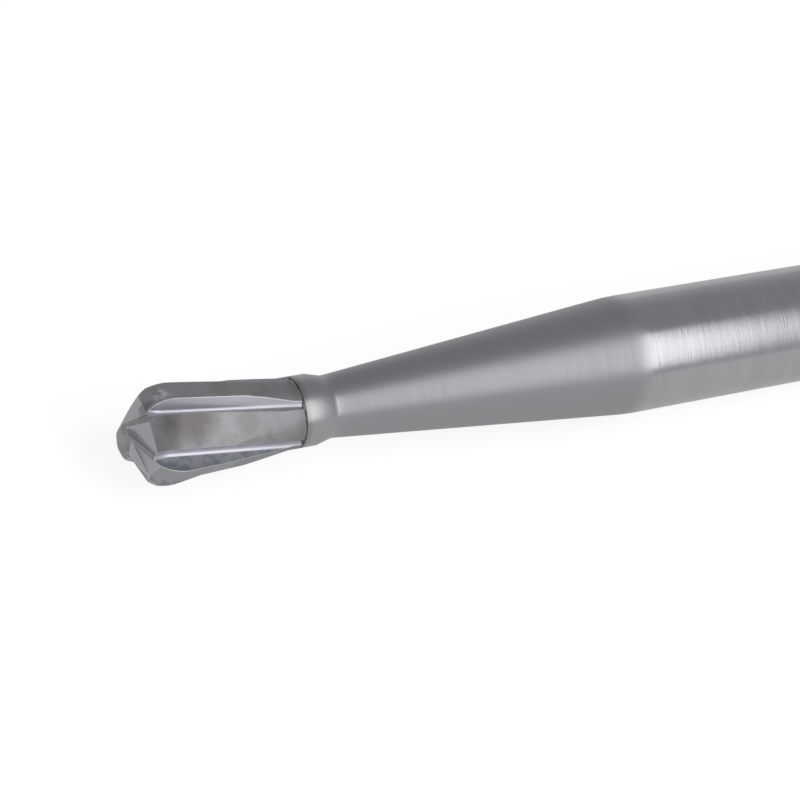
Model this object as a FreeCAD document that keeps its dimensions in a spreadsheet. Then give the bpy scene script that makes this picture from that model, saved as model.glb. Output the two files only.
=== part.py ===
# Dental bur: a six-bladed pear head of carbide, brazed to a turned steel shank.
# Each sub-part is drawn with the axis upright: +Z towards the tip, from the centre of the shank's
# flat end, with the first blade's rake face along +X at the slant pivot. It is then laid down, so that
# the bur lies on its shank with the tip at -X, the first blade at -Y and the origin under its middle.
# Lengths in mm, angles in degrees.
import FreeCAD, Part
import math
import os
import Sketcher

Vector = FreeCAD.Vector

SIZES = {
    # shank and neck
    "overall_length": 19.0,
    "shank_diameter": 1.6,
    "shank_end_chamfer": 0.1,
    "neck_length": 4.51,
    "neck_blend_radius": 4.0,
    "dip_diameter": 0.80,
    "dip_blend_radius": 0.25,
    "shoulder_length": 0.22,
    "collar_length": 0.23,
    "collar_diameter": 0.916,
    # head
    "head_length": 2.28,
    "head_diameter": 1.30,
    "head_taper_angle": 7.5,
    # braze between head and collar
    "braze_thickness": 0.03,
    "braze_recess": 0.006,
    # blades and their flutes
    "blade_count": 6,
    "blade_step_angle": 58.4,
    "flute_slant": 7.5,
    "slant_pivot_from_tip": 1.33,
    "flute_root_diameter": 0.86,
    "flute_root_lean": 0.8,
    "flute_root_offset": 0.05,
    "flute_root_radius": 0.06,
    "rake_angle": 12.0,
    "flute_back_angle": 52.0,
    "flute_exit_start": 0.48,
    "flute_exit_radius": 0.6,
    "flute_exit_angle": 50.0,
    # gash at the tip that carries each cutting edge on from its flute's end
    "gash_depth": 0.085,
    "gash_climb": 24.0,
    "gash_offset": 0.045,
    "gash_width": 0.02,
    "gash_wall_angle": 10.0,
    "gash_back_angle": 12.0,
    # flat relief behind each cutting edge
    "relief_angle": 23.0,
    "edge_land": 0.03,
    "relief_end_angle": 52.0,
}

# how far the cutting tools run past what they cut
TOOL_RUN_OUT = 0.3
TOOL_HEIGHT = 0.5
FLUTE_HEIGHT = 0.27
RELIEF_WIDTH = 0.62
RELIEF_EXIT = 0.5
RELIEF_STAND_OFF = 0.002
FLUTE_EXIT = 0.2
GASH_START = 0.8
GASH_RUN = 1.0
GASH_HEIGHT = 0.25
GASH_BACK_WIDTH = 0.3
PROFILE_BLEND = 0.15

doc = FreeCAD.newDocument("dental_bur")
sheet = doc.addObject("Spreadsheet::Sheet", "Sizes")
for row, (name, value) in enumerate(SIZES.items(), start=1):
    sheet.set(f"A{row}", name)
    sheet.set(f"B{row}", str(value))
    sheet.setAlias(f"B{row}", name)
doc.recompute()


def size(name):
    """A driving dimension, read from the sheet."""
    return float(sheet.get(name))


def origin_feature(body, role):
    """The body's own origin plane or axis with this role."""
    return [item for item in body.Origin.OriginFeatures if item.Role == role][0]


def new_body(name):
    body = doc.addObject("PartDesign::Body", name)
    body.Label = name
    return body


def lay_down(body):
    """Turns a finished sub-part from its upright drawing position to where it lies."""
    turn = FreeCAD.Rotation(Vector(0, 1, 0), -90).multiply(FreeCAD.Rotation(Vector(0, 0, 1), -90))
    body.Placement = FreeCAD.Placement(Vector(size("overall_length") / 2, 0, size("shank_diameter") / 2), turn)
    body.setExpression("Placement.Base.x", "Sizes.overall_length / 2")
    body.setExpression("Placement.Base.z", "Sizes.shank_diameter / 2")


def new_sketch(body, name, plane):
    sketch = body.newObject("Sketcher::SketchObject", name)
    sketch.AttachmentSupport = [(origin_feature(body, plane), "")]
    sketch.MapMode = "FlatFace"
    return sketch


def line(sketch, start, end):
    return sketch.addGeometry(Part.LineSegment(Vector(*start, 0), Vector(*end, 0)), False)


def arc(sketch, centre, radius, from_angle, to_angle):
    circle = Part.Circle(Vector(*centre, 0), Vector(0, 0, 1), radius)
    return sketch.addGeometry(Part.ArcOfCircle(circle, from_angle, to_angle), False)


def relate(sketch, *relations):
    """Adds constraints that carry no size, such as Coincident or Tangent."""
    for relation in relations:
        sketch.addConstraint(Sketcher.Constraint(*relation))


def measure(sketch, expression, *relation):
    """Adds a constraint whose size is bound to an expression over the sheet."""
    index = sketch.addConstraint(Sketcher.Constraint(*relation))
    sketch.setExpression(f"Constraints[{index}]", expression)


def revolve(body, sketch, name):
    feature = body.newObject("PartDesign::Revolution", name)
    feature.Profile = sketch
    feature.ReferenceAxis = (sketch, ["V_Axis"])
    feature.Angle = 360
    sketch.Visibility = False
    doc.recompute()
    return feature


def ring_edges(shape, z, radius):
    """Names of the circular edges at this height and radius."""
    names = []
    for index, edge in enumerate(shape.Edges, start=1):
        curve = edge.Curve
        if isinstance(curve, Part.Circle) and abs(curve.Center.z - z) < 1e-4 and abs(curve.Radius - radius) < 1e-4:
            names.append(f"Edge{index}")
    return names


def dress_ring(body, kind, name, z, radius, expression):
    """Fillets or chamfers the ring edge at a height and radius."""
    base = body.Tip
    feature = body.newObject(f"PartDesign::{kind}", name)
    feature.Base = (base, ring_edges(base.Shape, z, radius))
    feature.setExpression("Radius" if kind == "Fillet" else "Size", expression)
    doc.recompute()
    return feature


def head_blank(body):
    """The pear before fluting: ball end, straight taper and a short run at the collar's size."""
    top = size("overall_length")
    low = top - size("head_length")
    ball = size("head_diameter") / 2
    collar = size("collar_diameter") / 2
    taper = math.radians(size("head_taper_angle"))
    centre = top - ball
    touch = (ball * math.cos(taper), centre - ball * math.sin(taper))
    taper_foot = touch[1] - (touch[0] - collar) / math.tan(taper)
    sketch = new_sketch(body, "head_profile", "XZ_Plane")
    foot = line(sketch, (0, low), (collar, low))
    run = line(sketch, (collar, low), (collar, taper_foot))
    cone = line(sketch, (collar, taper_foot), touch)
    nose = arc(sketch, (0, centre), ball, -taper, math.pi / 2)
    axis = line(sketch, (0, top), (0, low))
    relate(sketch,
           ("Coincident", foot, 2, run, 1), ("Coincident", run, 2, cone, 1),
           ("Tangent", cone, 2, nose, 1), ("Coincident", nose, 2, axis, 1),
           ("Coincident", axis, 2, foot, 1), ("Horizontal", foot), ("Vertical", run),
           ("PointOnObject", nose, 3, -2), ("PointOnObject", axis, 1, -2), ("PointOnObject", axis, 2, -2))
    measure(sketch, "Sizes.overall_length", "DistanceY", -1, 1, axis, 1, top)
    measure(sketch, "Sizes.overall_length - Sizes.head_length", "DistanceY", -1, 1, axis, 2, low)
    measure(sketch, "Sizes.head_diameter / 2", "Radius", nose, ball)
    measure(sketch, "Sizes.collar_diameter / 2", "DistanceX", foot, 1, foot, 2, collar)
    measure(sketch, "Sizes.head_taper_angle", "Angle", cone, 2, axis, 1, taper)
    return revolve(body, sketch, "head_blank")


def slanted_sketch(body, name):
    """A sketch in the plane of the first flute: x radial, y up along the slanted flute from the pivot."""
    sketch = new_sketch(body, name, "XZ_Plane")
    slant = FreeCAD.Rotation(Vector(-1, 0, 0), size("flute_slant"))
    pivot = size("overall_length") - size("slant_pivot_from_tip")
    sketch.AttachmentOffset = FreeCAD.Placement(Vector(0, pivot, 0), slant)
    sketch.setExpression("AttachmentOffset.Base.y", "Sizes.overall_length - Sizes.slant_pivot_from_tip")
    sketch.setExpression("AttachmentOffset.Rotation.Angle", "Sizes.flute_slant")
    return sketch


def section_sketch(body, name):
    """A sketch square to the slanted flute where its tools start: x radial, y across the flute."""
    sketch = new_sketch(body, name, "XY_Plane")
    angle = math.radians(size("flute_slant"))
    start = tool_start()
    pivot = size("overall_length") - size("slant_pivot_from_tip")
    place = Vector(0, start * math.sin(angle), pivot + start * math.cos(angle))
    sketch.AttachmentOffset = FreeCAD.Placement(place, FreeCAD.Rotation(Vector(-1, 0, 0), size("flute_slant")))
    below = f"(Sizes.head_length - Sizes.slant_pivot_from_tip + {TOOL_RUN_OUT})"
    sketch.setExpression("AttachmentOffset.Base.y", f"-{below} * sin(Sizes.flute_slant * 1 deg)")
    sketch.setExpression("AttachmentOffset.Base.z", "Sizes.overall_length - Sizes.slant_pivot_from_tip"
                         f" - {below} * cos(Sizes.flute_slant * 1 deg)")
    sketch.setExpression("AttachmentOffset.Rotation.Angle", "Sizes.flute_slant")
    return sketch


def tool_start():
    """Height at which the tools enter, below the head and measured from the slant pivot."""
    return size("slant_pivot_from_tip") - size("head_length") - TOOL_RUN_OUT


def start_at_tool_entry(sketch, edge, radius, expression):
    """Pins the first point of a tool's path to its radius and to the entry height."""
    below = f"Sizes.head_length - Sizes.slant_pivot_from_tip + {TOOL_RUN_OUT}"
    measure(sketch, expression, "DistanceX", -1, 1, edge, 1, radius)
    measure(sketch, below, "DistanceY", edge, 1, -1, 1, -tool_start())


def flute_path(body):
    """The flute's root: up beside the core, then out through the surface along the wheel's curve."""
    low = tool_start()
    root = size("flute_root_diameter") / 2
    lean = math.radians(size("flute_root_lean"))
    leave = math.radians(size("flute_exit_angle"))
    bend = size("flute_exit_radius")
    high = size("slant_pivot_from_tip") - size("flute_exit_start")
    foot = (root - math.tan(lean) * (high - low), high)
    centre = (foot[0] + bend * math.cos(lean), high + bend * math.sin(lean))
    off = (centre[0] - bend * math.cos(leave), centre[1] + bend * math.sin(leave))
    out = (off[0] + FLUTE_EXIT * math.sin(leave), off[1] + FLUTE_EXIT * math.cos(leave))
    sketch = slanted_sketch(body, "flute_path")
    side = line(sketch, (root, low), foot)
    turn = arc(sketch, centre, bend, math.pi - leave, math.pi + lean)
    exit_run = line(sketch, off, out)
    relate(sketch, ("Tangent", side, 2, turn, 2), ("Tangent", turn, 1, exit_run, 1))
    start_at_tool_entry(sketch, side, root, "Sizes.flute_root_diameter / 2")
    measure(sketch, "90 + Sizes.flute_root_lean", "Angle", side, math.pi / 2 + lean)
    measure(sketch, "Sizes.flute_exit_radius", "Radius", turn, bend)
    measure(sketch, "Sizes.slant_pivot_from_tip - Sizes.flute_exit_start", "DistanceY", -1, 1, side, 2, high)
    measure(sketch, "90 - Sizes.flute_exit_angle", "Angle", exit_run, math.pi / 2 - leave)
    measure(sketch, str(FLUTE_EXIT), "Distance", exit_run, FLUTE_EXIT)
    return sketch


def flute_section(body):
    """The wheel's form: the next blade's rake face, a round root and the back of the blade before."""
    rake = math.radians(size("rake_angle"))
    back = math.radians(size("flute_back_angle"))
    radius = size("flute_root_radius")
    centre = (size("flute_root_diameter") / 2 + radius, size("flute_root_offset"))
    rake_foot = (centre[0] - radius * math.sin(rake), centre[1] - radius * math.cos(rake))
    back_foot = (centre[0] - radius * math.sin(back), centre[1] + radius * math.cos(back))
    top = centre[0] + FLUTE_HEIGHT
    rake_top = (top, rake_foot[1] - (top - rake_foot[0]) * math.tan(rake))
    back_top = (top, back_foot[1] + (top - back_foot[0]) * math.tan(back))
    sketch = section_sketch(body, "flute_section")
    face = line(sketch, rake_foot, rake_top)
    lid = line(sketch, rake_top, back_top)
    wall = line(sketch, back_top, back_foot)
    root = arc(sketch, centre, radius, math.pi / 2 + back, 1.5 * math.pi - rake)
    relate(sketch,
           ("Coincident", face, 2, lid, 1), ("Coincident", lid, 2, wall, 1),
           ("Tangent", wall, 2, root, 1), ("Tangent", root, 2, face, 1), ("Vertical", lid))
    measure(sketch, "Sizes.flute_root_radius", "Radius", root, radius)
    measure(sketch, "Sizes.flute_root_diameter / 2 + Sizes.flute_root_radius",
            "DistanceX", -1, 1, root, 3, centre[0])
    measure(sketch, "Sizes.flute_root_offset", "DistanceY", -1, 1, root, 3, centre[1])
    measure(sketch, "-Sizes.rake_angle", "Angle", face, -rake)
    measure(sketch, "Sizes.flute_back_angle - 180", "Angle", wall, back - math.pi)
    measure(sketch, str(FLUTE_HEIGHT), "DistanceX", root, 3, lid, 1, FLUTE_HEIGHT)
    return sketch


def gash_top():
    """Height above the pivot at which the gash's root crosses the axis."""
    return size("slant_pivot_from_tip") - size("gash_depth")


def gash_path(body):
    """The gash's root: a straight pass that climbs from the flute's end to the axis."""
    climb = math.radians(size("gash_climb"))
    start = (GASH_START * math.cos(climb), gash_top() - GASH_START * math.sin(climb))
    end = (start[0] - GASH_RUN * math.cos(climb), start[1] + GASH_RUN * math.sin(climb))
    sketch = slanted_sketch(body, "gash_path")
    run = line(sketch, start, end)
    measure(sketch, f"{GASH_START} * cos(Sizes.gash_climb * 1 deg)", "DistanceX", -1, 1, run, 1, start[0])
    measure(sketch, "Sizes.slant_pivot_from_tip - Sizes.gash_depth"
            f" - {GASH_START} * sin(Sizes.gash_climb * 1 deg)", "DistanceY", -1, 1, run, 1, start[1])
    measure(sketch, "180 - Sizes.gash_climb", "Angle", run, math.pi - climb)
    measure(sketch, str(GASH_RUN), "Distance", run, GASH_RUN)
    return sketch


def gash_section(body):
    """The gash wheel's form: a steep wall along the cutting edge and a flat over the blade before."""
    climb = math.radians(size("gash_climb"))
    slant = FreeCAD.Rotation(Vector(-1, 0, 0), size("flute_slant"))
    pivot = size("overall_length") - size("slant_pivot_from_tip")
    start = Vector(GASH_START * math.cos(climb), 0, gash_top() - GASH_START * math.sin(climb))
    place = slant.multVec(start) + Vector(0, 0, pivot)
    turn = slant.multiply(FreeCAD.Rotation(Vector(0, 1, 0), -90 + size("gash_climb")))
    wall = math.radians(size("gash_wall_angle"))
    back = math.radians(size("gash_back_angle"))
    near = size("gash_offset")
    far = near + size("gash_width")
    end = far + GASH_BACK_WIDTH
    wall_top = (GASH_HEIGHT, near - GASH_HEIGHT * math.tan(wall))
    back_foot = (-GASH_BACK_WIDTH * math.tan(back), end)
    sketch = new_sketch(body, "gash_section", "XY_Plane")
    sketch.AttachmentOffset = FreeCAD.Placement(place, turn)
    root = line(sketch, (0, near), (0, far))
    flat = line(sketch, (0, far), back_foot)
    rise = line(sketch, back_foot, (GASH_HEIGHT, end))
    lid = line(sketch, (GASH_HEIGHT, end), wall_top)
    face = line(sketch, wall_top, (0, near))
    relate(sketch,
           ("Coincident", root, 2, flat, 1), ("Coincident", flat, 2, rise, 1),
           ("Coincident", rise, 2, lid, 1), ("Coincident", lid, 2, face, 1),
           ("Coincident", face, 2, root, 1), ("PointOnObject", root, 1, -2),
           ("Vertical", root), ("Horizontal", rise), ("Vertical", lid))
    measure(sketch, "Sizes.gash_offset", "DistanceY", -1, 1, root, 1, near)
    measure(sketch, "Sizes.gash_width", "DistanceY", root, 1, root, 2, far - near)
    measure(sketch, "90 + Sizes.gash_back_angle", "Angle", flat, math.pi / 2 + back)
    measure(sketch, "180 - Sizes.gash_wall_angle", "Angle", face, math.pi - wall)
    measure(sketch, str(GASH_BACK_WIDTH), "DistanceY", flat, 1, flat, 2, GASH_BACK_WIDTH)
    measure(sketch, str(GASH_HEIGHT), "DistanceX", -1, 1, rise, 2, GASH_HEIGHT)
    return sketch


def relief_path(body):
    """The cutting edge's line: the blank's own outline, left along a tangent near the end."""
    low = tool_start()
    ball = size("head_diameter") / 2
    collar = size("collar_diameter") / 2
    taper = math.radians(size("head_taper_angle"))
    leave = math.radians(size("relief_end_angle"))
    centre = size("slant_pivot_from_tip") - ball
    touch = (ball * math.cos(taper), centre - ball * math.sin(taper))
    knee = touch[1] - (touch[0] - collar) / math.tan(taper)
    blend = PROFILE_BLEND / math.tan(taper / 2)
    after = (collar + PROFILE_BLEND * math.sin(taper), knee + PROFILE_BLEND * math.cos(taper))
    off = (ball * math.cos(leave), centre + ball * math.sin(leave))
    out = (off[0] - RELIEF_EXIT * math.sin(leave), off[1] + RELIEF_EXIT * math.cos(leave))
    sketch = slanted_sketch(body, "relief_path")
    run = line(sketch, (collar, low), (collar, knee - PROFILE_BLEND))
    ease = arc(sketch, (collar + blend, knee - PROFILE_BLEND), blend, math.pi - taper, math.pi)
    cone = line(sketch, after, touch)
    nose = arc(sketch, (0, centre), ball, -taper, leave)
    exit_run = line(sketch, off, out)
    relate(sketch,
           ("Vertical", run), ("Tangent", run, 2, ease, 2), ("Tangent", ease, 1, cone, 1),
           ("Tangent", cone, 2, nose, 1), ("Tangent", nose, 2, exit_run, 1), ("PointOnObject", nose, 3, -2))
    start_at_tool_entry(sketch, run, collar, "Sizes.collar_diameter / 2")
    measure(sketch, f"{PROFILE_BLEND} / tan(Sizes.head_taper_angle / 2 * 1 deg)", "Radius", ease, blend)
    measure(sketch, "90 - Sizes.head_taper_angle", "Angle", cone, math.pi / 2 - taper)
    measure(sketch, "Sizes.head_diameter / 2", "Radius", nose, ball)
    measure(sketch, "Sizes.slant_pivot_from_tip - Sizes.head_diameter / 2",
            "DistanceY", -1, 1, nose, 3, centre)
    measure(sketch, "90 + Sizes.relief_end_angle", "Angle", exit_run, math.pi / 2 + leave)
    measure(sketch, str(RELIEF_EXIT), "Distance", exit_run, RELIEF_EXIT)
    return sketch


def relief_section(body):
    """What the relief wheel takes: a flat that falls away behind the cutting edge's narrow land."""
    fall = math.radians(size("relief_angle"))
    first = (size("collar_diameter") / 2 + RELIEF_STAND_OFF, -size("edge_land"))
    last = (first[0] - RELIEF_WIDTH * math.sin(fall), first[1] - RELIEF_WIDTH * math.cos(fall))
    sketch = section_sketch(body, "relief_section")
    flat = line(sketch, first, last)
    rise = line(sketch, last, (last[0] + TOOL_HEIGHT, last[1]))
    lid = line(sketch, (last[0] + TOOL_HEIGHT, last[1]), (first[0] + TOOL_HEIGHT / 2, first[1]))
    drop = line(sketch, (first[0] + TOOL_HEIGHT / 2, first[1]), first)
    relate(sketch,
           ("Coincident", flat, 2, rise, 1), ("Coincident", rise, 2, lid, 1),
           ("Coincident", lid, 2, drop, 1), ("Coincident", drop, 2, flat, 1),
           ("Horizontal", rise), ("Horizontal", drop))
    measure(sketch, f"Sizes.collar_diameter / 2 + {RELIEF_STAND_OFF}", "DistanceX", -1, 1, flat, 1, first[0])
    measure(sketch, "Sizes.edge_land", "DistanceY", flat, 1, -1, 1, -first[1])
    measure(sketch, "-90 - Sizes.relief_angle", "Angle", flat, -math.pi / 2 - fall)
    measure(sketch, str(RELIEF_WIDTH), "Distance", flat, RELIEF_WIDTH)
    measure(sketch, str(TOOL_HEIGHT), "Distance", rise, TOOL_HEIGHT)
    measure(sketch, str(TOOL_HEIGHT / 2), "Distance", drop, TOOL_HEIGHT / 2)
    return sketch


def swept_cut(body, name, section, path):
    """One pass of a grinding wheel: its section carried along its path."""
    before = body.Tip.Shape.Volume
    cut = body.newObject("PartDesign::SubtractivePipe", name)
    cut.Profile = section
    cut.Spine = (path, [""])
    cut.Mode = "Standard"
    cut.Refine = False
    for sketch in (section, path):
        sketch.Visibility = False
    doc.recompute()
    if not cut.Shape.Volume < before:
        raise RuntimeError(name + " takes nothing off")
    return cut


def carbide_head():
    body = new_body("carbide_head")
    head_blank(body)
    flute = swept_cut(body, "flute", flute_section(body), flute_path(body))
    relief = swept_cut(body, "relief", relief_section(body), relief_path(body))
    gash = swept_cut(body, "gash", gash_section(body), gash_path(body))
    blades = body.newObject("PartDesign::PolarPattern", "blades")
    blades.Originals = [flute, relief, gash]
    blades.Axis = (origin_feature(body, "Z_Axis"), [""])
    blades.Mode = "Spacing"
    blades.Reversed = True
    blades.Refine = False
    blades.setExpression("Offset", "Sizes.blade_step_angle")
    blades.setExpression("Occurrences", "Sizes.blade_count")
    body.Tip = blades
    doc.recompute()
    return body


def braze_joint():
    """The thin disc of braze metal between the head's foot and the collar's face."""
    low = size("overall_length") - size("head_length") - size("braze_thickness")
    high = low + size("braze_thickness")
    radius = size("collar_diameter") / 2 - size("braze_recess")
    body = new_body("braze_joint")
    sketch = new_sketch(body, "braze_profile", "XZ_Plane")
    foot = line(sketch, (0, low), (radius, low))
    rim = line(sketch, (radius, low), (radius, high))
    face = line(sketch, (radius, high), (0, high))
    axis = line(sketch, (0, high), (0, low))
    relate(sketch,
           ("Coincident", foot, 2, rim, 1), ("Coincident", rim, 2, face, 1),
           ("Coincident", face, 2, axis, 1), ("Coincident", axis, 2, foot, 1),
           ("Horizontal", foot), ("Horizontal", face), ("Vertical", rim),
           ("PointOnObject", axis, 1, -2), ("PointOnObject", axis, 2, -2))
    measure(sketch, "Sizes.overall_length - Sizes.head_length", "DistanceY", -1, 1, axis, 1, high)
    measure(sketch, "Sizes.braze_thickness", "DistanceY", rim, 1, rim, 2, high - low)
    measure(sketch, "Sizes.collar_diameter / 2 - Sizes.braze_recess", "DistanceX", foot, 1, foot, 2, radius)
    revolve(body, sketch, "braze_disc")
    return body


def steel_shank():
    """Shank, neck cone, shoulder and collar, turned in one."""
    top = size("overall_length") - size("head_length") - size("braze_thickness")
    shank = size("shank_diameter") / 2
    dip = size("dip_diameter") / 2
    collar = size("collar_diameter") / 2
    collar_end = top - size("collar_length")
    dip_height = collar_end - size("shoulder_length")
    neck_base = dip_height - size("neck_length")
    blend = size("neck_blend_radius")
    across = dip - shank + blend
    along = dip_height - neck_base
    slope = math.atan2(along, across) - math.acos(blend / math.hypot(along, across))
    leave = (shank - blend + blend * math.cos(slope), neck_base + blend * math.sin(slope))
    body = new_body("steel_shank")
    sketch = new_sketch(body, "shank_profile", "XZ_Plane")
    end = line(sketch, (0, 0), (shank, 0))
    barrel = line(sketch, (shank, 0), (shank, neck_base))
    bend = arc(sketch, (shank - blend, neck_base), blend, 0, slope)
    neck = line(sketch, leave, (dip, dip_height))
    shoulder = line(sketch, (dip, dip_height), (collar, collar_end))
    rim = line(sketch, (collar, collar_end), (collar, top))
    face = line(sketch, (collar, top), (0, top))
    axis = line(sketch, (0, top), (0, 0))
    relate(sketch, ("Tangent", barrel, 2, bend, 1), ("Tangent", bend, 2, neck, 1))
    for first, second in ((end, barrel), (neck, shoulder), (shoulder, rim), (rim, face), (face, axis), (axis, end)):
        relate(sketch, ("Coincident", first, 2, second, 1))
    relate(sketch,
           ("Coincident", end, 1, -1, 1), ("Horizontal", end), ("Vertical", barrel),
           ("Vertical", rim), ("Horizontal", face), ("Vertical", axis))
    measure(sketch, "Sizes.shank_diameter / 2", "DistanceX", end, 1, end, 2, shank)
    measure(sketch, "Sizes.neck_length", "DistanceY", bend, 1, neck, 2, dip_height - neck_base)
    measure(sketch, "Sizes.neck_blend_radius", "Radius", bend, blend)
    measure(sketch, "Sizes.dip_diameter / 2", "DistanceX", -1, 1, neck, 2, dip)
    measure(sketch, "Sizes.shoulder_length", "DistanceY", neck, 2, shoulder, 2, collar_end - dip_height)
    measure(sketch, "Sizes.collar_diameter / 2", "DistanceX", -1, 1, shoulder, 2, collar)
    measure(sketch, "Sizes.collar_length", "DistanceY", rim, 1, rim, 2, top - collar_end)
    measure(sketch, "Sizes.overall_length - Sizes.head_length - Sizes.braze_thickness",
            "DistanceY", -1, 1, rim, 2, top)
    revolve(body, sketch, "turned_blank")
    dress_ring(body, "Chamfer", "end_chamfer", 0, shank, "Sizes.shank_end_chamfer")
    dress_ring(body, "Fillet", "dip_blend", dip_height, dip, "Sizes.dip_blend_radius")
    return body


def check(parts):
    """Stops before anything is written if an object failed or a sub-part's shape is unsound."""
    for item in doc.Objects:
        if "Invalid" in item.State or "Error" in item.State:
            raise RuntimeError(item.Name + " did not build")
    for part in parts:
        if part.Shape.isNull() or not part.Shape.isValid() or len(part.Shape.Solids) != 1:
            raise RuntimeError(part.Label + " is not one sound solid")


parts = [carbide_head(), braze_joint(), steel_shank()]
for part in parts:
    lay_down(part)
doc.recompute()
check(parts)
os.makedirs("parts", exist_ok=True)
for part in parts:
    part.Shape.exportStep(f"parts/{part.Label}.step")
    print(part.Label, round(part.Shape.Volume, 4), "mm3", len(part.Shape.Faces), "faces")
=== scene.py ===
import bpy
import math
from mathutils import Matrix, Vector


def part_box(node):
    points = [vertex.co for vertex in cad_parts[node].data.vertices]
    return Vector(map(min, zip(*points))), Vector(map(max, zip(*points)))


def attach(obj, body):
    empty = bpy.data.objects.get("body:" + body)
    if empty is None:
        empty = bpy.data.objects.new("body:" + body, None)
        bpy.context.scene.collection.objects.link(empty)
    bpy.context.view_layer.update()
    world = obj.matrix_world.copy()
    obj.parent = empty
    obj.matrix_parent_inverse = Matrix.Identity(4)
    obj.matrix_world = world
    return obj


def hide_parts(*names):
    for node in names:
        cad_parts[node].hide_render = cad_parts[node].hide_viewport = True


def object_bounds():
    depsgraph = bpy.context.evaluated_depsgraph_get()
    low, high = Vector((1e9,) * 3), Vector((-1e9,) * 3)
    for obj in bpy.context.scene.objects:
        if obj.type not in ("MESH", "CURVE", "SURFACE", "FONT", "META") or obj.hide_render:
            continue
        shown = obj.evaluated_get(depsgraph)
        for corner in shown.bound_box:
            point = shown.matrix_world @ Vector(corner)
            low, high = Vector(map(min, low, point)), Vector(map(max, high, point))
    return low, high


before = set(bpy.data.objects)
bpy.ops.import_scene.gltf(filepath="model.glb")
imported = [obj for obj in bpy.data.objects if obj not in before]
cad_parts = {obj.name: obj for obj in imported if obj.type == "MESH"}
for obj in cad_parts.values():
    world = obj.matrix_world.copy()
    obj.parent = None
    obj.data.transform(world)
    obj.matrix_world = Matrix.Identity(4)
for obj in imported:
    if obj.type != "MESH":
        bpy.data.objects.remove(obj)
cad_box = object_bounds()

# Dental bur: a fluted carbide head, the braze under it and a turned steel shank.
# Each piece is shaped upright, as the bur stands in a grinding machine: Z runs from the shank's end to
# the tip, and the first blade's rake face lies along +X. It is then laid down where the frame has it.
MM = 0.001
DEG = math.pi / 180

# sizes of the real bur, in mm and degrees, beginning with the turned shank
LENGTH = (cad_box[1].x - cad_box[0].x) / MM
SHANK_RADIUS = (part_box("steel_shank")[1].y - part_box("steel_shank")[0].y) / 2 / MM
END_CHAMFER = 0.1
NECK_LENGTH = 4.51
NECK_BLEND = 4.0
DIP_RADIUS = 0.40
DIP_BLEND = 0.25
SHOULDER = 0.22
COLLAR_LENGTH = 0.23
COLLAR_RADIUS = 0.458

# the braze, and how far its rim falls off towards its two faces
BRAZE = 0.03
BRAZE_RADIUS = 0.452
BRAZE_ROUNDING = 0.004

# the head's blank, and its blades with the slant of their flutes about a point near the tip
HEAD_LENGTH = 2.28
HEAD_RADIUS = 0.65
HEAD_TAPER = 7.5
BLADES = 6
BLADE_STEP = 58.4
SLANT = 7.5
PIVOT_FROM_TIP = 1.33

# the flutes: the rounded root by the core, the slopes of the rake face and of the back behind it, and
# the bend on which the wheel leaves the head
ROOT_RADIUS_AT_COLLAR = 0.43
ROOT_LEAN = 0.8
ROOT_OFFSET = 0.05
ROOT_ROUND = 0.06
RAKE = 12.0
BACK = 52.0
EXIT_START = 0.48
EXIT_BEND = 0.6
EXIT_ANGLE = 50.0

# the gashes at the tip
GASH_DEPTH = 0.085
GASH_CLIMB = 24.0
GASH_OFFSET = 0.045
GASH_WIDTH = 0.02
GASH_WALL = 10.0
GASH_BACK = 12.0

# the relief behind each cutting edge, and the narrow land that it leaves
RELIEF = 23.0
LAND = 0.03
RELIEF_END = 52.0

# how far the grinding tools reach past the faces that they cut
TOOL_RUN_OUT = 0.3
TOOL_HEIGHT = 0.5
FLUTE_HEIGHT = 0.27
FLUTE_EXIT = 0.2
GASH_HEIGHT = 0.25
GASH_BACK_WIDTH = 0.3
RELIEF_WIDTH = 0.62
RELIEF_EXIT = 0.5

# where the gash's pass starts, out from the axis along its climb, and how long it is
GASH_START = 0.8
GASH_RUN = 1.0

# how far the relief wheel stays off the land's edge, and the bend that takes it on to the taper
RELIEF_STAND_OFF = 0.002
PROFILE_BLEND = 0.15

# height at which the grinding tools enter, below the head and from the slant's pivot
TOOL_START = PIVOT_FROM_TIP - HEAD_LENGTH - TOOL_RUN_OUT

# what the faces of the head are marked with: ground plain, by the flute's wheel on its back or
# its rake side, or by the gash's wheel. A face of the flute's tool is on the rake side where its
# normal is this far towards -Y.
PLAIN, FLUTE, RAKED, GASH = 0.0, 1.0, 2.0, 3.0
RAKE_SIDE = -0.9

# how finely the round forms are divided
ROUND_SIDES = 256
BARREL_STEPS = 24
NECK_STEPS = 12
DIP_STEPS = 10
TIP_STEPS = 64
ROOT_STEPS = 16
KNEE_STEPS = 8
BEND_STEPS = 40

# degrees from straight out at which the blank's round tip ends in a tiny flat, and the distance in mm
# within which two corners of a tool are one
TIP_END = 88
SAME_PLACE = 0.00001

# degrees between faces above which an edge is left crisp
TURNED_EDGE, BRAZE_EDGE, GROUND_EDGE = 30, 40, 18

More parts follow.
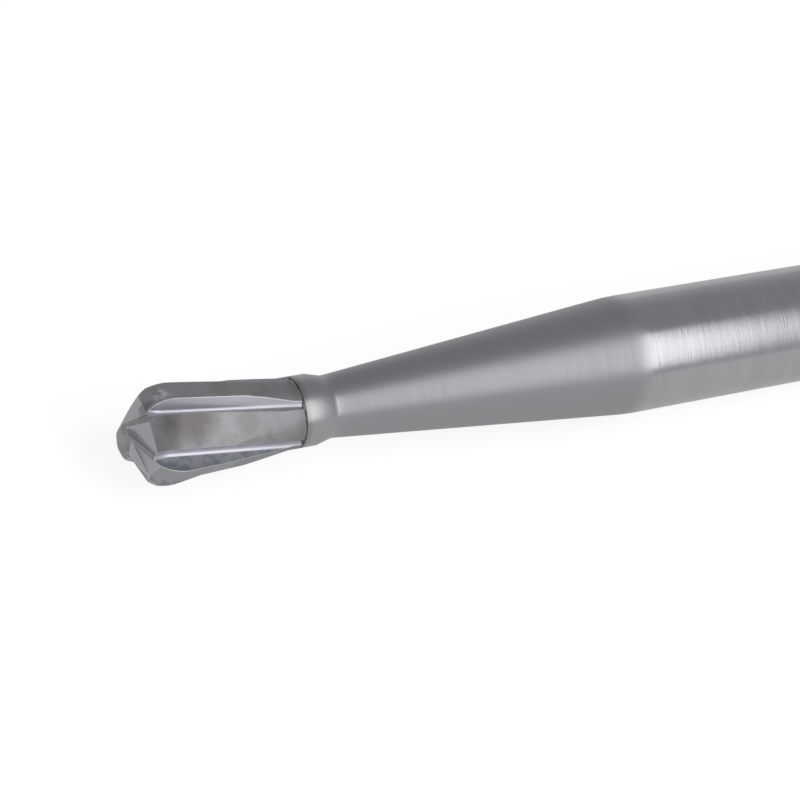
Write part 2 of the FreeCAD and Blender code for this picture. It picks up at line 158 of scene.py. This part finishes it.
# the colours of the metals, as their shaders take them
STEEL_GREY = (0.56, 0.565, 0.58)
STEEL_LIGHT = (0.60, 0.60, 0.615)
STEEL_NECK = (0.45, 0.455, 0.47)
STEEL_HEATED = (0.30, 0.29, 0.27)
CARBIDE_GREY = (0.50, 0.51, 0.52)
CARBIDE_BROWN = (0.41, 0.385, 0.385)
CARBIDE_VIOLET = (0.46, 0.43, 0.46)
# the dark that stains, and the painted shadow in a flute's end, take the faces towards
CARBIDE_STAIN_AND_SHADOW = (0.26, 0.24, 0.25)
# a painted highlight, standing in for a lamp's glint on the tip
CARBIDE_HIGHLIGHT = (0.97, 0.96, 0.98)
# worn edges, lightened both as wear and as a painted edge highlight
CARBIDE_WEAR_HIGHLIGHT = (0.93, 0.92, 0.94)
# the flutes' backs: a painted highlight, lighter at the tip's end and darker towards the collar's end
FLUTE_HIGHLIGHT_TIP_END = (0.74, 0.75, 0.82)
FLUTE_HIGHLIGHT_COLLAR_END = (0.58, 0.59, 0.64)
# the rake faces: painted shade, in darker and lighter patches
RAKE_SHADE_DARK = (0.34, 0.36, 0.39)
RAKE_SHADE_LIGHT = (0.50, 0.51, 0.54)
GASH_GREY = (0.57, 0.57, 0.59)
BRAZE_DARK = (0.18, 0.16, 0.145)
BRAZE_LIGHT = (0.34, 0.31, 0.28)

# where a finish changes along the bur: in mm from the tip, where each change begins and where it ends
TIP_WORN = (0.35, 0.60)
# where the flutes' painted highlight fades from its tip colour to its collar colour
FLUTE_HIGHLIGHT_FADES = (1.3, 2.2)
DULLER_END = (1.6, 2.3)
HEATED_END = (2.13, 2.27)
HEATED_RIM = (2.31, 2.41)
COLLAR_TO_NECK = (2.6, 3.0)
NECK_TO_SHANK = (6.9, 7.3)

# the head's stains, a painted shadow in a flute's end and a painted highlight patch: the centre in mm
# along, across and up from the axis, the distances in mm at which each is whole and gone, and its
# strength
BROWN_STAIN = (0.74, -0.28, 0.52), 0.10, 0.46, 0.9
FAINT_STAIN = (1.50, -0.39, 0.34), 0.04, 0.20, 0.4
# a painted shadow in the hollow where a flute ends by the tip
HOLLOW_SHADOW = (0.27, 0.06, 0.43), 0.04, 0.15, 0.8
# a painted highlight patch on the tip
HIGHLIGHT_PATCH = (0.53, 0.21, 0.53), 0.03, 0.16, 1.0

# how far a noise moves the rim of a stain or of a painted mark, in mm
RAGGED_RIM = 0.6

# the shares in which the darker colours are mixed in
HEATED = 0.6
NECK_DULL = 0.8
COLLAR_DULL = 0.55
CLOUD_BROWN = 0.7
PATCH_VIOLET = 0.5
END_DULL = 0.25
END_HEATED = 0.35

# the roughness of each metal, and what the marks, the wheels and the wear add to it or take away
STEEL_ROUGH = 0.19
NECK_ROUGHER = 0.25
LINES_VARY = 0.14
BROAD_VARY = 0.03
CARBIDE_ROUGH = 0.50
PATCH_VARY = 0.12
GRAIN_VARY = 0.10
WHEEL_SMOOTHER = 0.15
HIGHLIGHT_ROUGHER = 0.32
WEAR_SMOOTHER = 0.16
BRAZE_ROUGH = 0.5

# the depth of the marks in mm
STEEL_MARKS = 0.0009
CARBIDE_MARKS = 0.0005

# the width of the wear on edges in mm, the likeness of the plain and the turned normal where it is
# whole and where it is gone, and its share of the colour, a lighter colour that is both wear and a
# painted edge highlight
BLADE_WEAR = 0.012
TIP_WEAR = 0.022
WORN = (0.90, 0.995)
WEAR_HIGHLIGHT_SHARE = 0.9
BEVEL_SAMPLES = 6

# the room's light from above, how many times brighter it is at the floor's level, and how high up the
# sky that ends, where 1 is straight up
ROOM = (0.29, 0.29, 0.30)
HORIZON_GAIN = 1.5
HORIZON_TOP = 0.5

# the point on the bur's axis that the lamp faces, in mm from the middle
LAMP_AIM = -5

# the floor: its size in metres, its colours, and how bright it is to the camera and in the metal
FLOOR_SIZE = 1.2
FLOOR_GREY = (0.6, 0.6, 0.6)
FLOOR_WHITE = (1.0, 0.99, 0.995)
FLOOR_SEEN = 0.78
FLOOR_IN_METAL = 0.30

# the photograph's view: its angles in degrees, the distance and the place looked at in mm, and how
# far the camera sees in metres
AZIMUTH, ELEVATION, ROLL = -37.46, 44.94, -18.32
VIEW_ANGLE = 19.353
DISTANCE = 30.11
LOOKED_AT = (-5.685, -0.064, 0.749)
FAR_CLIP = 10


def deselect():
    bpy.ops.object.select_all(action="DESELECT")


def pick(piece):
    """Selects one piece alone."""
    deselect()
    bpy.context.view_layer.objects.active = piece
    piece.select_set(True)


def edit(piece):
    """Opens a piece for editing, with all of it selected."""
    pick(piece)
    bpy.ops.object.mode_set(mode="EDIT")
    bpy.ops.mesh.select_all(action="SELECT")


def leave():
    bpy.ops.object.mode_set(mode="OBJECT")


def turned(name, rings):
    """A turned piece: a disc drawn out from ring to ring, each ring a height and a radius in mm."""
    deselect()
    height, radius = rings[0]
    bpy.ops.mesh.primitive_circle_add(
        vertices=ROUND_SIDES, radius=radius * MM, fill_type="NGON", location=(0, 0, height * MM))
    piece = bpy.context.object
    piece.name = name
    bpy.ops.object.transform_apply(location=True, rotation=True, scale=True)
    edit(piece)
    for next_height, next_radius in rings[1:]:
        rise = (0, 0, (next_height - height) * MM)
        bpy.ops.mesh.extrude_region_move(TRANSFORM_OT_translate={"value": rise})
        growth = next_radius / radius
        bpy.ops.transform.resize(value=(growth, growth, 1), center_override=(0, 0, next_height * MM))
        height, radius = next_height, next_radius
    bpy.ops.mesh.select_all(action="SELECT")
    bpy.ops.mesh.normals_make_consistent(inside=False)
    leave()
    return piece


def arc_rings(centre_height, centre_radius, radius, start, end, steps):
    """Rings along an arc of the outline. Angles are in radians from straight out, towards the tip."""
    turns = [start + (end - start) * i / steps for i in range(steps + 1)]
    return [(centre_height + radius * math.sin(t), centre_radius + radius * math.cos(t)) for t in turns]


def corner_rings(before, corner, after, radius, steps):
    """Rings that round a corner of the outline, given as three (height, radius) points."""
    a, b, c = Vector(before), Vector(corner), Vector(after)
    to_a, to_c = (a - b).normalized(), (c - b).normalized()
    half = to_a.angle(to_c) / 2
    middle = b + (to_a + to_c).normalized() * (radius / math.sin(half))
    first = b + to_a * (radius / math.tan(half)) - middle
    turn = first.angle_signed(b + to_c * (radius / math.tan(half)) - middle)
    return [tuple(middle + Matrix.Rotation(-turn * i / steps, 2) @ first) for i in range(steps + 1)]


def shank_outline():
    top = LENGTH - HEAD_LENGTH - BRAZE
    collar_end = top - COLLAR_LENGTH
    dip = collar_end - SHOULDER
    neck_base = dip - NECK_LENGTH
    across = DIP_RADIUS - SHANK_RADIUS + NECK_BLEND
    slope = math.atan2(NECK_LENGTH, across) - math.acos(NECK_BLEND / math.hypot(NECK_LENGTH, across))
    blend = arc_rings(neck_base, SHANK_RADIUS - NECK_BLEND, NECK_BLEND, 0, slope, NECK_STEPS)
    waist = corner_rings(blend[-1], (dip, DIP_RADIUS), (collar_end, COLLAR_RADIUS), DIP_BLEND, DIP_STEPS)
    barrel = [(END_CHAMFER + (neck_base - END_CHAMFER) * i / BARREL_STEPS, SHANK_RADIUS)
              for i in range(BARREL_STEPS)]
    return ([(0, SHANK_RADIUS - END_CHAMFER)] + barrel + blend + waist
            + [(collar_end, COLLAR_RADIUS), (top, COLLAR_RADIUS)])


def taper_ends(centre):
    """The head's taper, for a round tip with its centre at a given height: the radius and the height
    at which it meets the tip, and the height of its knee, where it meets the collar's radius."""
    taper = HEAD_TAPER * DEG
    radius = HEAD_RADIUS * math.cos(taper)
    height = centre - HEAD_RADIUS * math.sin(taper)
    return (radius, height), height - (radius - COLLAR_RADIUS) / math.tan(taper)


def head_outline():
    low = LENGTH - HEAD_LENGTH
    centre = LENGTH - HEAD_RADIUS
    knee = taper_ends(centre)[1]
    ball = arc_rings(centre, 0, HEAD_RADIUS, -HEAD_TAPER * DEG, TIP_END * DEG, TIP_STEPS)
    return [(low, COLLAR_RADIUS), (knee, COLLAR_RADIUS)] + ball


def section(name, corners, out=0.0, up=TOOL_START, climb=90.0):
    """A flat face across a grinding tool's path, from its corners in mm: x outward, y across.
    It starts so far out from the axis and up from the slant's pivot, and its path climbs at an angle
    in degrees."""
    deselect()
    bpy.ops.mesh.primitive_circle_add(vertices=len(corners), radius=MM, fill_type="NGON")
    tool = bpy.context.object
    tool.name = name
    start = Vector((out, 0, up))
    tilt = Matrix.Rotation(-(90 - climb) * DEG, 3, "Y")
    for vertex, (x, y) in zip(tool.data.vertices, corners):
        vertex.co = (start + tilt @ Vector((x, y, 0))) * MM
    return tool


def run(along, out):
    """Draws the selected face on, so far along the flute and so far outward, in mm."""
    bpy.ops.mesh.extrude_region_move(TRANSFORM_OT_translate={"value": (out * MM, 0, along * MM)})


def swing(centre, angle, steps):
    """Draws the selected face on round a bend in the flute's plane, about (outward, along) in mm."""
    bpy.ops.mesh.spin(
        steps=steps, angle=angle, center=(centre[0] * MM, 0, centre[1] * MM), axis=(0, -1, 0))


def flute_tool():
    """What the flute wheel sweeps: up beside the core, then out through the surface along its curve."""
    rake, back = RAKE * DEG, BACK * DEG
    centre = (ROOT_RADIUS_AT_COLLAR + ROOT_ROUND, ROOT_OFFSET)
    rake_foot = (centre[0] - ROOT_ROUND * math.sin(rake), centre[1] - ROOT_ROUND * math.cos(rake))
    back_foot = (centre[0] - ROOT_ROUND * math.sin(back), centre[1] + ROOT_ROUND * math.cos(back))
    top = centre[0] + FLUTE_HEIGHT
    rake_top = (top, rake_foot[1] - (top - rake_foot[0]) * math.tan(rake))
    back_top = (top, back_foot[1] + (top - back_foot[0]) * math.tan(back))
    first = math.pi / 2 + back
    last = 1.5 * math.pi - rake
    turns = [first + (last - first) * i / ROOT_STEPS for i in range(ROOT_STEPS + 1)]
    root = [(centre[0] + ROOT_ROUND * math.cos(t), centre[1] + ROOT_ROUND * math.sin(t)) for t in turns]
    tool = section("flute_tool", [rake_top, back_top] + root)
    high = PIVOT_FROM_TIP - EXIT_START
    lean = ROOT_LEAN * DEG
    away = EXIT_ANGLE * DEG
    foot = (ROOT_RADIUS_AT_COLLAR - math.tan(lean) * (high - TOOL_START), high)
    edit(tool)
    run(high - TOOL_START, foot[0] - ROOT_RADIUS_AT_COLLAR)
    bend = (foot[0] + EXIT_BEND * math.cos(lean), high + EXIT_BEND * math.sin(lean))
    swing(bend, lean + away, BEND_STEPS)
    run(FLUTE_EXIT * math.cos(away), FLUTE_EXIT * math.sin(away))
    close_tool()
    return tool


def gash_tool():
    """What the gash wheel sweeps: a straight pass from the flute's end up to the axis at the tip."""
    wall, back, climb = GASH_WALL * DEG, GASH_BACK * DEG, GASH_CLIMB * DEG
    far = GASH_OFFSET + GASH_WIDTH
    corners = [
        (0, GASH_OFFSET), (0, far), (-GASH_BACK_WIDTH * math.tan(back), far + GASH_BACK_WIDTH),
        (GASH_HEIGHT, far + GASH_BACK_WIDTH), (GASH_HEIGHT, GASH_OFFSET - GASH_HEIGHT * math.tan(wall))]
    start_out = GASH_START * math.cos(climb)
    start_up = PIVOT_FROM_TIP - GASH_DEPTH - GASH_START * math.sin(climb)
    tool = section("gash_tool", corners, start_out, start_up, GASH_CLIMB)
    edit(tool)
    run(GASH_RUN * math.sin(climb), -GASH_RUN * math.cos(climb))
    close_tool()
    return tool


def relief_tool():
    """What the relief wheel sweeps: a flat behind the cutting edge, along the head's own outline."""
    fall = RELIEF * DEG
    taper = HEAD_TAPER * DEG
    away = RELIEF_END * DEG
    first = (COLLAR_RADIUS + RELIEF_STAND_OFF, -LAND)
    last = (first[0] - RELIEF_WIDTH * math.sin(fall), first[1] - RELIEF_WIDTH * math.cos(fall))
    tool = section("relief_tool", [
        first, last, (last[0] + TOOL_HEIGHT, last[1]), (first[0] + TOOL_HEIGHT / 2, first[1])])
    centre = PIVOT_FROM_TIP - HEAD_RADIUS
    touch, knee = taper_ends(centre)
    ease = PROFILE_BLEND / math.tan(taper / 2)
    after = (COLLAR_RADIUS + PROFILE_BLEND * math.sin(taper), knee + PROFILE_BLEND * math.cos(taper))
    edit(tool)
    run(knee - PROFILE_BLEND - TOOL_START, 0)
    swing((COLLAR_RADIUS + ease, knee - PROFILE_BLEND), taper, KNEE_STEPS)
    run(touch[1] - after[1], touch[0] - after[0])
    swing((0, centre), -taper - away, BEND_STEPS)
    run(RELIEF_EXIT * math.cos(away), -RELIEF_EXIT * math.sin(away))
    close_tool()
    return tool


def close_tool():
    """Merges the sweep's doubled corners and turns its faces outward."""
    bpy.ops.mesh.select_all(action="SELECT")
    bpy.ops.mesh.remove_doubles(threshold=SAME_PLACE * MM)
    bpy.ops.mesh.normals_make_consistent(inside=False)
    leave()


def mark(piece, wheel):
    """Notes on every face which wheel ground it, so that the finish can differ."""
    note = piece.data.attributes.new("wheel", "FLOAT", "FACE")
    for face, written in zip(piece.data.polygons, note.data):
        raked = wheel == FLUTE and face.normal.y < RAKE_SIDE
        written.value = RAKED if raked else wheel


def cut(piece, tool, wheel_number):
    """Takes a copy of the grinding tool's sweep off the head, once for each blade."""
    mark(tool, wheel_number)
    slant = Matrix.Rotation(-SLANT * DEG, 4, "X")
    pivot = Matrix.Translation((0, 0, (LENGTH - PIVOT_FROM_TIP) * MM))
    for blade in range(BLADES):
        wheel = bpy.data.objects.new(tool.name + "_pass", tool.data.copy())
        bpy.context.scene.collection.objects.link(wheel)
        wheel.data.transform(Matrix.Rotation(-BLADE_STEP * blade * DEG, 4, "Z") @ pivot @ slant)
        pick(piece)
        grind = piece.modifiers.new("grind", "BOOLEAN")
        grind.operation = "DIFFERENCE"
        grind.solver = "EXACT"
        grind.object = wheel
        bpy.ops.object.modifier_apply(modifier=grind.name)
        bpy.data.objects.remove(wheel)
    bpy.data.objects.remove(tool)


def lay_down(piece):
    """Turns a piece from upright to where the frame has it: the tip at -X and the first blade at -Y."""
    turn = Matrix((
        (0, 0, -1, LENGTH / 2 * MM),
        (-1, 0, 0, 0),
        (0, 1, 0, SHANK_RADIUS * MM),
        (0, 0, 0, 1)))
    piece.data.transform(turn)
    piece.data.update()


def finish_piece(piece, node, material, angle):
    lay_down(piece)
    pick(piece)
    bpy.ops.object.shade_smooth_by_angle(angle=angle * DEG)
    piece.data.materials.clear()
    piece.data.materials.append(material)
    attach(piece, "root")
    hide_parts(node)


class Wire:
    """A socket that takes part in arithmetic: each operation adds a Math node to its node tree."""

    def __init__(self, nodes, socket):
        self.nodes = nodes
        self.socket = socket

    def other(self, name):
        """Another output of the same node."""
        return Wire(self.nodes, self.socket.node.outputs[name])

    def math(self, operation, *others):
        return self.nodes.add("ShaderNodeMath", {"operation": operation}, [self, *others])

    def __add__(self, other):
        return self.math("ADD", other)

    def __sub__(self, other):
        return self.math("SUBTRACT", other)

    def __mul__(self, other):
        return self.math("MULTIPLY", other)

    def __truediv__(self, other):
        return self.math("DIVIDE", other)

    def __rsub__(self, other):
        return self.nodes.add("ShaderNodeMath", {"operation": "SUBTRACT"}, [other, self])

    __radd__ = __add__
    __rmul__ = __mul__

    def clamped(self):
        return self.nodes.add("ShaderNodeMath", {"operation": "ADD", "use_clamp": True}, [self, 0.0])

    def step(self, low, high):
        """0 below low and 1 above high, with a soft change between."""
        return self.nodes.add("ShaderNodeMapRange", {"interpolation_type": "SMOOTHSTEP"},
                              {"Value": self, "From Min": low, "From Max": high})

    def band(self, low, high, soft):
        """1 between low and high, fading over soft on each side."""
        return self.step(low - soft, low + soft) * (1 - self.step(high - soft, high + soft))


class Nodes:
    """A node tree, and the one method that adds nodes to it."""

    def __init__(self, tree):
        self.tree = tree

    def add(self, kind, settings, values, output=0):
        """Adds a node: its settings first, then the values or wires of its sockets."""
        node = self.tree.nodes.new(kind)
        for name, value in settings.items():
            setattr(node, name, value)
        pairs = enumerate(values) if isinstance(values, list) else values.items()
        for key, value in pairs:
            self.join(node.inputs[key], value)
        return Wire(self, node.outputs[output])

    def join(self, socket, value):
        """Gives a socket a wire, or a value of its own."""
        if isinstance(value, Wire):
            self.tree.links.new(value.socket, socket)
        elif isinstance(value, tuple) and len(value) == 3 and socket.type == "RGBA":
            socket.default_value = (*value, 1)
        else:
            socket.default_value = value


class Finish(Nodes):
    """A material for one of the bur's finishes."""

    def __init__(self, name):
        self.material = bpy.data.materials.new(name)
        self.material.use_nodes = True
        super().__init__(self.material.node_tree)
        self.shader = self.tree.nodes["Principled BSDF"]

    def axes(self):
        """The place on the bur in mm: along it from the tip, across it, and up from its axis."""
        place = self.add("ShaderNodeTexCoord", {}, {}, "Object")
        x = self.add("ShaderNodeSeparateXYZ", {}, [place], "X")
        return x / MM + LENGTH / 2, x.other("Y") / MM, x.other("Z") / MM - SHANK_RADIUS

    def vector(self, x, y, z):
        return self.add("ShaderNodeCombineXYZ", {}, [x, y, z])

    def noise(self, vector, scale, detail, roughness):
        return self.add("ShaderNodeTexNoise", {}, {
            "Vector": vector, "Scale": scale, "Detail": detail, "Roughness": roughness})

    def mix(self, share, first, second):
        """A colour between two. The Mix node's colours are its sockets 6 and 7 and its output 2."""
        return self.add("ShaderNodeMix", {"data_type": "RGBA"}, {"Factor": share, 6: first, 7: second}, 2)

    def round_marks(self, along, across, up, lengthwise, sideways, detail, roughness):
        """Marks that run round the bur. They change often along it and seldom across it, per mm."""
        place = self.vector(along * lengthwise, across * sideways, up * sideways)
        return self.noise(place, scale=1.0, detail=detail, roughness=roughness)

    def bump(self, height, depth, **normal):
        """A bumped normal, with its depth in mm. It starts from another one where that is given."""
        return self.add("ShaderNodeBump", {}, {
            "Height": height, "Distance": depth * MM, "Strength": 1.0, **normal})

    def spot(self, along, across, up, ragged, centre, whole, gone, strength):
        """A mark's strength within a distance of its centre, and 0 further off, with a ragged rim: a
        stain, a painted shadow or a painted highlight.
        """
        x, y, z = along - centre[0], across - centre[1], up - centre[2]
        far = (x * x + y * y + z * z).math("SQRT") + (ragged - 0.5) * RAGGED_RIM
        return (1 - far.step(whole, gone)) * strength

    def worn_edge(self, width):
        """The surface's normal, turned a little at each edge as a worn edge turns."""
        return self.add("ShaderNodeBevel", {"samples": BEVEL_SAMPLES}, {"Radius": width * MM})

    def wear(self, turned_normal):
        """1 where the normal is turned by a worn edge, and 0 on a plain face."""
        plain = self.add("ShaderNodeNewGeometry", {}, {}, "Normal")
        product = {"operation": "DOT_PRODUCT"}
        likeness = self.add("ShaderNodeVectorMath", product, [turned_normal, plain], "Value")
        return 1 - likeness.step(*WORN)

    def set(self, **values):
        """Sets the shader's sockets, each named with _ for its spaces."""
        for name, value in values.items():
            self.join(self.shader.inputs[name.replace("_", " ")], value)


def steel():
    """Ground and polished steel with fine marks round it. The neck is duller, the collar partly so,
    and the joint's heat has stained the collar's rim."""
    finish = Finish("ground_steel")
    along, across, up = finish.axes()
    lines = finish.round_marks(along, across, up, lengthwise=24, sideways=0.9, detail=4.0, roughness=0.7)
    broad = finish.round_marks(along, across, up, lengthwise=5, sideways=0.8, detail=3.0, roughness=0.6)
    neck = COLLAR_DULL + along.step(*COLLAR_TO_NECK) * (1 - COLLAR_DULL)
    neck = neck * (1 - along.step(*NECK_TO_SHANK))
    heat = (1 - along.step(*HEATED_RIM)) * HEATED
    polished = finish.mix(broad.step(0.3, 0.7), STEEL_GREY, STEEL_LIGHT)
    bar = finish.mix((neck * NECK_DULL).clamped(), polished, STEEL_NECK)
    marks = (lines - 0.5) * LINES_VARY + (broad - 0.5) * BROAD_VARY
    finish.set(
        Metallic=1.0,
        Base_Color=finish.mix(heat, bar, STEEL_HEATED),
        Roughness=(STEEL_ROUGH + neck * NECK_ROUGHER + marks).clamped(),
        Normal=finish.bump(lines, STEEL_MARKS))
    return finish.material


def carbide():
    """Ground carbide: dull faces with brown and violet stains, a painted highlight on the flutes' backs,
    painted shade on their rake faces, a painted shadow in a hollow at the tip, a painted highlight patch,
    and worn edges lightened both as wear and as a painted edge highlight."""
    finish = Finish("ground_carbide")
    along, across, up = finish.axes()
    place = finish.vector(along, across, up)
    cloud = finish.noise(place, scale=2.6, detail=3.0, roughness=0.6)
    patch = finish.noise(place, scale=7.0, detail=4.0, roughness=0.6)
    grain = finish.noise(place, scale=60.0, detail=3.0, roughness=0.7)

    brown = finish.spot(along, across, up, cloud, *BROWN_STAIN)
    faint = finish.spot(along, across, up, cloud, *FAINT_STAIN)
    # a painted shadow in the hollow where a flute ends by the tip
    hollow_shadow = finish.spot(along, across, up, cloud, *HOLLOW_SHADOW)
    # bright is a painted highlight patch on the tip
    bright = finish.spot(along, across, up, patch, *HIGHLIGHT_PATCH) * patch.step(0.40, 0.55)
    duller = along.step(*DULLER_END) * END_DULL + along.step(*HEATED_END) * END_HEATED
    # stains and the painted shadow together darken the faces
    stain_and_shadow = (brown + faint + hollow_shadow + duller).clamped()
    stained = finish.mix(cloud.step(0.45, 0.65) * CLOUD_BROWN, CARBIDE_GREY, CARBIDE_BROWN)
    stained = finish.mix(patch.step(0.52, 0.72) * PATCH_VIOLET, stained, CARBIDE_VIOLET)
    stained = finish.mix(stain_and_shadow, stained, CARBIDE_STAIN_AND_SHADOW)

    wheel = finish.add("ShaderNodeAttribute", {"attribute_name": "wheel"}, {}, "Fac")
    flute, raked, gash = [wheel.band(w - 0.5, w + 0.5, 0.2) for w in (FLUTE, RAKED, GASH)]
    # the flutes' backs get a painted highlight that fades towards the collar
    back = finish.mix(along.step(*FLUTE_HIGHLIGHT_FADES), FLUTE_HIGHLIGHT_TIP_END, FLUTE_HIGHLIGHT_COLLAR_END)
    color = finish.mix(flute, stained, back)
    # the rake faces get painted shade
    color = finish.mix(raked, color, finish.mix(patch.step(0.4, 0.6), RAKE_SHADE_DARK, RAKE_SHADE_LIGHT))
    # the gashes keep the painted shadow where it falls on them
    color = finish.mix(gash * (1 - hollow_shadow), color, GASH_GREY)
    # the painted highlight patch
    color = finish.mix(bright, color, CARBIDE_HIGHLIGHT)

    edge = finish.worn_edge(BLADE_WEAR)
    tip_wear = finish.wear(finish.worn_edge(TIP_WEAR)) * (1 - along.step(*TIP_WORN))
    worn = (finish.wear(edge) + tip_wear).clamped()
    rough = CARBIDE_ROUGH + (patch - 0.5) * PATCH_VARY + (grain - 0.5) * GRAIN_VARY
    rough = rough - (flute + raked + gash) * WHEEL_SMOOTHER
    finish.set(
        Metallic=1.0,
        # worn edges are lightened, both as wear and as a painted edge highlight
        Base_Color=finish.mix(worn * WEAR_HIGHLIGHT_SHARE, color, CARBIDE_WEAR_HIGHLIGHT),
        Roughness=(rough + bright * HIGHLIGHT_ROUGHER - worn * WEAR_SMOOTHER).clamped(),
        Normal=finish.bump(grain, CARBIDE_MARKS, Normal=edge))
    return finish.material


def braze():
    """Dull, darkened braze metal."""
    finish = Finish("braze_metal")
    place = finish.vector(*finish.axes())
    spots = finish.noise(place, scale=9.0, detail=3.0, roughness=0.6)
    finish.set(
        Metallic=1.0,
        Base_Color=finish.mix(spots.step(0.4, 0.6), BRAZE_DARK, BRAZE_LIGHT),
        Roughness=BRAZE_ROUGH)
    return finish.material


def make_shank():
    shank = turned("shank", shank_outline())
    finish_piece(shank, "steel_shank", steel(), TURNED_EDGE)


def make_braze():
    low = LENGTH - HEAD_LENGTH - BRAZE
    rim = BRAZE_RADIUS - BRAZE_ROUNDING
    disc = turned("braze", [(low, rim), (low + BRAZE / 2, BRAZE_RADIUS), (low + BRAZE, rim)])
    finish_piece(disc, "braze_joint", braze(), BRAZE_EDGE)


def make_head():
    """The head is turned as a blank, and its flutes, reliefs and gashes are then ground in turn."""
    head = turned("fluted_head", head_outline())
    mark(head, PLAIN)
    cut(head, flute_tool(), FLUTE)
    cut(head, relief_tool(), PLAIN)
    cut(head, gash_tool(), GASH)
    finish_piece(head, "carbide_head", carbide(), GROUND_EDGE)


def lamp(name, elevation, lean, distance, height, width, level):
    """A soft box that faces the bur. Elevation is about the bur's axis, from the front, and lean is
    towards the shank's end, both in degrees. Distance and size are in metres. Level is how bright its
    face is, where 1 is white."""
    rise, slant = elevation * DEG, lean * DEG
    towards = Vector((
        math.sin(slant), -math.cos(slant) * math.cos(rise), math.cos(slant) * math.sin(rise)))
    light = bpy.data.lights.new(name, "AREA")
    light.shape = "RECTANGLE"
    light.size = width
    light.size_y = height
    light.energy = level * math.pi * width * height
    box = bpy.data.objects.new(name, light)
    bpy.context.scene.collection.objects.link(box)
    aim = Vector((LAMP_AIM * MM, 0, SHANK_RADIUS * MM))
    up = Vector((1, 0, 0)).cross(towards).normalized()
    side = up.cross(towards).normalized()
    turn = Matrix((side, up, towards)).transposed().to_4x4()
    box.matrix_world = Matrix.Translation(aim + towards * distance) @ turn


def light_the_bur():
    world = bpy.data.worlds.new("studio")
    bpy.context.scene.world = world
    world.use_nodes = True
    room = Nodes(world.node_tree)
    direction = room.add("ShaderNodeTexCoord", {}, {}, "Generated")
    height = room.add("ShaderNodeSeparateXYZ", {}, [direction], "Z")
    glow = room.add("ShaderNodeMapRange", {}, {
        "Value": height, "From Max": HORIZON_TOP, "To Min": HORIZON_GAIN, "To Max": 1.0})
    walls = world.node_tree.nodes["Background"]
    room.join(walls.inputs["Color"], ROOM)
    room.join(walls.inputs["Strength"], glow)
    lamp("key_box", elevation=47.0, lean=23.5, distance=0.25, height=0.29, width=0.105, level=1.5)


def floor():
    deselect()
    bpy.ops.mesh.primitive_plane_add(size=FLOOR_SIZE)
    ground = bpy.context.object
    ground.name = "floor"
    paint = Finish("pale_floor")
    seen = paint.add("ShaderNodeLightPath", {}, {}, "Is Camera Ray")
    reflected = seen.other("Is Glossy Ray") + seen.other("Is Transmission Ray")
    paint.set(
        Base_Color=FLOOR_GREY,
        Roughness=1.0,
        Specular_IOR_Level=0.0,
        Emission_Color=FLOOR_WHITE,
        Emission_Strength=seen * FLOOR_SEEN + reflected * FLOOR_IN_METAL)
    ground.data.materials.append(paint.material)


def aim_camera():
    """Looks from the tip's side and above, with the bur turned a little in the picture."""
    turn, rise = AZIMUTH * DEG, ELEVATION * DEG
    back = Vector((
        math.sin(turn) * math.cos(rise), -math.cos(turn) * math.cos(rise), math.sin(rise)))
    camera = bpy.data.cameras.new("camera")
    camera.sensor_fit = "HORIZONTAL"
    camera.angle = VIEW_ANGLE * DEG
    camera.clip_start = MM
    camera.clip_end = FAR_CLIP
    eye = bpy.data.objects.new("camera", camera)
    bpy.context.scene.collection.objects.link(eye)
    place = Matrix.Translation((Vector(LOOKED_AT) + back * DISTANCE) * MM)
    level = back.to_track_quat("Z", "Y").to_matrix().to_4x4()
    eye.matrix_world = place @ level @ Matrix.Rotation(-ROLL * DEG, 4, "Z")
    bpy.context.scene.camera = eye


bpy.context.scene.view_settings.view_transform = "Standard"
make_shank()
make_braze()
make_head()
floor()
light_the_bur()
aim_camera()
